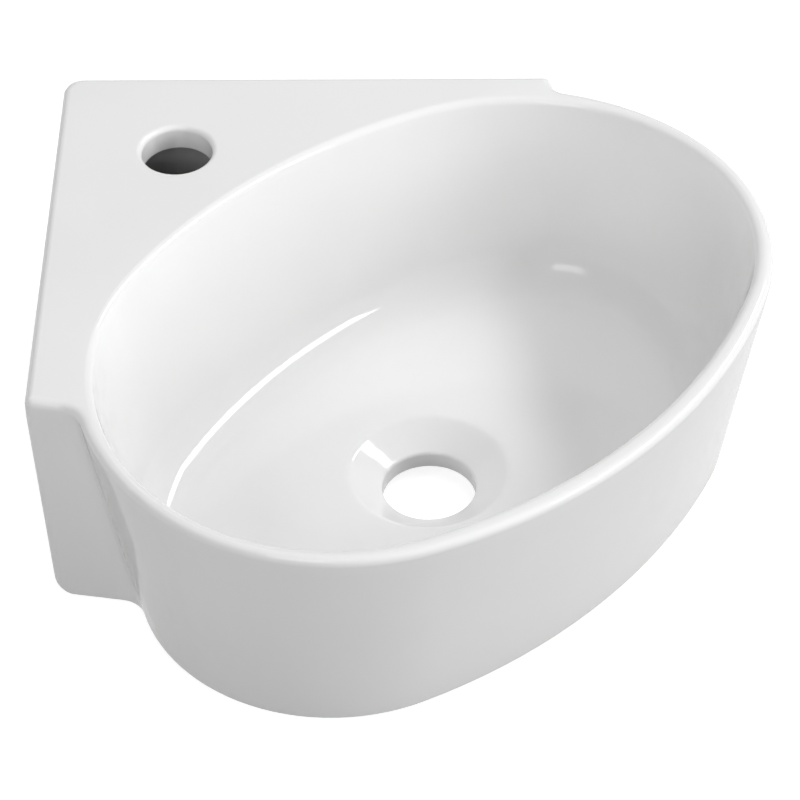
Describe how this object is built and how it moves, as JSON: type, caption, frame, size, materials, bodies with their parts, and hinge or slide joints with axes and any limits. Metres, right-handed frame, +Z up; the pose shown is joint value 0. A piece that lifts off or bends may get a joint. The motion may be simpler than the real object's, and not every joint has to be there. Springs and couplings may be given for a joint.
{
  "type": "corner basin",
  "caption": "Small wall-hung hand basin for a room corner: oval bowl set across the corner, flat tap deck behind it, short legs along both walls, tap hole and waste hole",
  "frame": {"origin": "under the middle of the basin's bounding box, on the plane of its flat underside", "axes": "+Z up; +Y out of the back face that bears on the right-hand room wall; -X out of the back face that bears on the left-hand room wall, so the room corner is at -X +Y"},
  "size_m": [0.3511, 0.3442, 0.1254],
  "materials": {
    "china": "glossy white glaze",
    "nylon": "matt natural nylon"
  },
  "bodies": {
    "root": {"basin": "china", "fixing_sleeve_left": "nylon", "fixing_sleeve_right": "nylon"}
  },
  "joints": []
}
